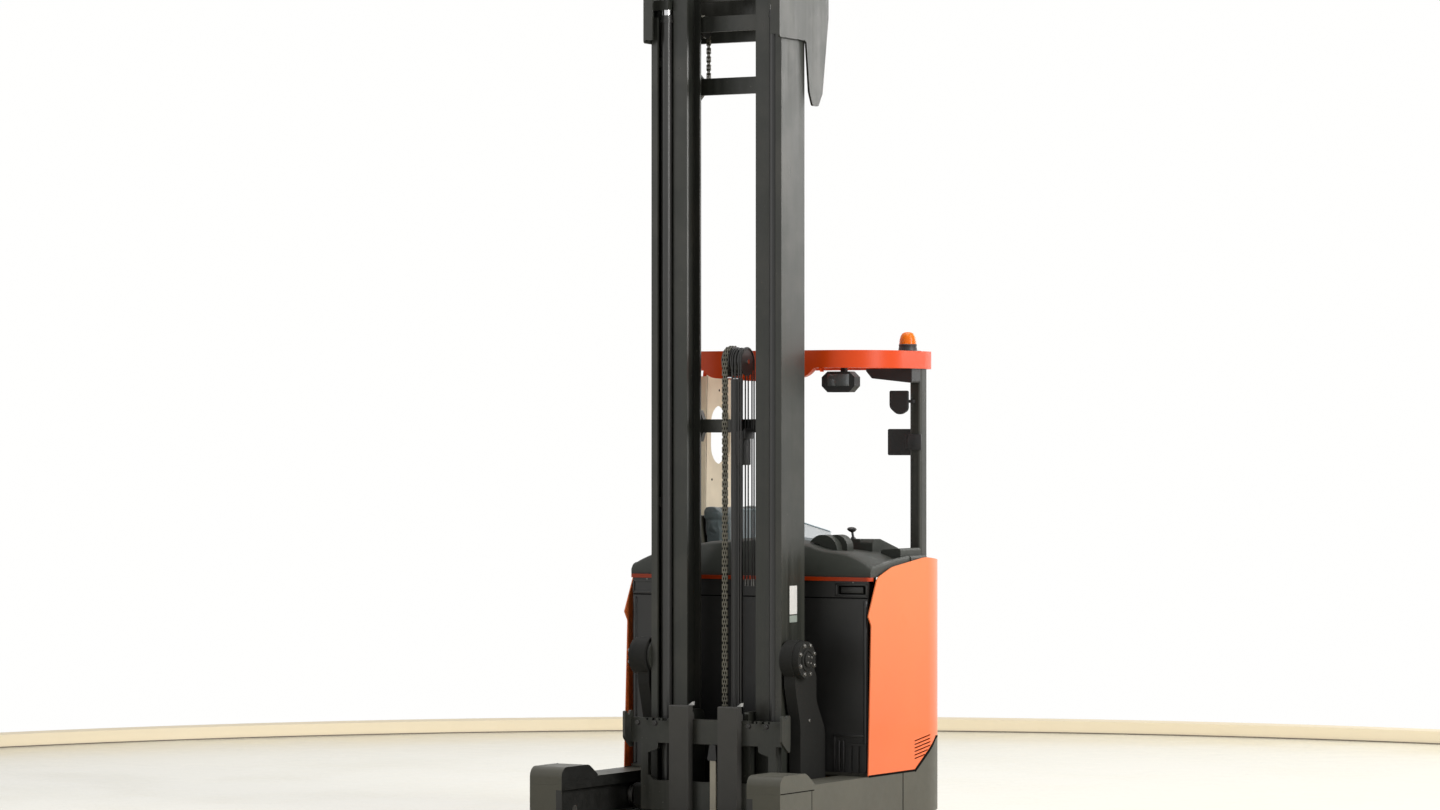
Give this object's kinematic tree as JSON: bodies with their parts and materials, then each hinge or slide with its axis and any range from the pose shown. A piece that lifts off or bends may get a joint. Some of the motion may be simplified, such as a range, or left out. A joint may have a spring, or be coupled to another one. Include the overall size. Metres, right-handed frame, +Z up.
{
  "type": "reach truck",
  "caption": "Sideways-seated reach truck: two support arms, reaching carriage, three-stage mast with free lift, side-shifting forks and a steered drive wheel under an overhead guard.",
  "frame": {"origin": "on the floor, at the centre of the truck's box seen from above", "axes": "+Z up, +X to the right as seen from the forks, forks along -Y, drive end along +Y"},
  "size_m": [1.27, 2.5, 3.85],
  "materials": {
    "arm_paint": "satin grey paint",
    "chassis_paint": "satin dark grey paint",
    "orange_paint": "gloss orange paint",
    "mast_paint": "satin dark warm grey paint",
    "cylinder_paint": "satin black paint",
    "rod_chrome": "ground chrome",
    "steel": "oiled bare steel",
    "chain_steel": "greased chain steel",
    "fork_steel": "scuffed black paint",
    "cover_black": "satin black paint",
    "cowl_plastic": "grained moulding",
    "black_plastic": "black moulding",
    "seat_cloth": "blue-grey cloth",
    "wheel_tread": "amber polyurethane",
    "drive_tread": "black tread",
    "hose_rubber": "black rubber hose",
    "cream_strip": "cream plastic",
    "clear_panel": "clear sheet",
    "beacon_amber": "amber lens"
  },
  "bodies": {
    "root": {"support_arm_right": "arm_paint", "support_arm_left": "arm_paint", "arm_covers": "arm_paint", "load_axles": "steel", "chassis_skirt": "chassis_paint", "chassis_frame": "chassis_paint", "floor_plate": "chassis_paint", "pedals": "black_plastic", "battery_block": "cover_black", "battery_cover": "cover_black", "battery_lock": "cover_black", "cowl_lip": "orange_paint", "side_panel_right": "orange_paint", "side_panel_left": "orange_paint", "cowl": "cowl_plastic", "cowl_hoods": "black_plastic", "clear_shield": "clear_panel", "side_console": "cowl_plastic", "hand_controls": "black_plastic", "seat_pedestal": "cowl_plastic", "seat_shell": "chassis_paint", "seat_cushion": "seat_cloth", "seat_back": "seat_cloth", "rear_cover": "orange_paint", "steering_wheel": "black_plastic", "overhead_guard": "orange_paint", "guard_post": "chassis_paint", "guard_pillar": "orange_paint", "beacon": "beacon_amber", "guard_fittings": "black_plastic", "reach_barrel": "cylinder_paint"},
    "load_wheel_right": {"load_tyre_right": "wheel_tread", "load_hub_right": "steel"},
    "load_wheel_left": {"load_tyre_left": "wheel_tread", "load_hub_left": "steel"},
    "drive_steer": {"drive_unit": "mast_paint"},
    "drive_wheel": {"drive_hub": "steel", "drive_tyre": "drive_tread"},
    "reach_carriage": {"reach_frame": "mast_paint", "reach_rollers": "steel", "reach_rod": "rod_chrome"},
    "outer_mast": {"outer_mast": "mast_paint", "lift_cylinders": "cylinder_paint"},
    "intermediate_mast": {"intermediate_mast": "mast_paint", "lift_rods": "rod_chrome", "side_chains": "chain_steel", "side_pulleys": "steel"},
    "inner_mast": {"inner_mast": "mast_paint", "free_lift_cylinder": "cylinder_paint"},
    "free_lift_ram": {"free_lift_ram": "rod_chrome", "mast_pulleys": "steel", "lift_chain": "chain_steel", "mast_hoses": "hose_rubber"},
    "lift_carriage": {"lift_carriage": "mast_paint"},
    "fork_carrier": {"side_shift_frame": "mast_paint", "guide_strip": "cream_strip", "cable_bundle": "black_plastic", "fork_right": "fork_steel", "fork_left": "fork_steel"}
  },
  "joints": [
    {"name": "load_wheel_right_spin", "type": "hinge", "parent": "root", "child": "load_wheel_right", "pos_m": [0.553, -0.378, 0.1425], "axis": [1, 0, 0], "continuous": true},
    {"name": "load_wheel_left_spin", "type": "hinge", "parent": "root", "child": "load_wheel_left", "pos_m": [-0.553, -0.378, 0.1425], "axis": [1, 0, 0], "continuous": true},
    {"name": "steering", "type": "hinge", "parent": "root", "child": "drive_steer", "pos_m": [-0.18, 1.045, 0.35], "axis": [0, 0, 1], "range_deg": [-90, 90]},
    {"name": "drive_wheel_spin", "type": "hinge", "parent": "drive_steer", "child": "drive_wheel", "pos_m": [-0.18, 1.045, 0.1715], "axis": [1, 0, 0], "continuous": true},
    {"name": "reach", "type": "slide", "parent": "root", "child": "reach_carriage", "axis": [0, -1, 0], "range_m": [0, 0.56]},
    {"name": "mast_tilt", "type": "hinge", "parent": "reach_carriage", "child": "outer_mast", "pos_m": [0, 0.065, 0.811], "axis": [1, 0, 0], "range_deg": [-3, 1]},
    {"name": "first_lift", "type": "slide", "parent": "outer_mast", "child": "intermediate_mast", "axis": [0, 0, 1], "range_m": [0, 2.9]},
    {"name": "second_lift", "type": "slide", "parent": "intermediate_mast", "child": "inner_mast", "axis": [0, 0, 1], "range_m": [0, 2.9]},
    {"name": "free_lift", "type": "slide", "parent": "inner_mast", "child": "free_lift_ram", "axis": [0, 0, 1], "range_m": [0, 1.55]},
    {"name": "carriage_lift", "type": "slide", "parent": "inner_mast", "child": "lift_carriage", "axis": [0, 0, 1], "range_m": [0, 3.1]},
    {"name": "side_shift", "type": "slide", "parent": "lift_carriage", "child": "fork_carrier", "axis": [1, 0, 0], "range_m": [-0.075, 0.075]}
  ],
  "couplings": [
    {"joint": "second_lift", "follows": "first_lift", "ratio": 1},
    {"joint": "free_lift", "follows": "carriage_lift", "ratio": 0.5}
  ]
}
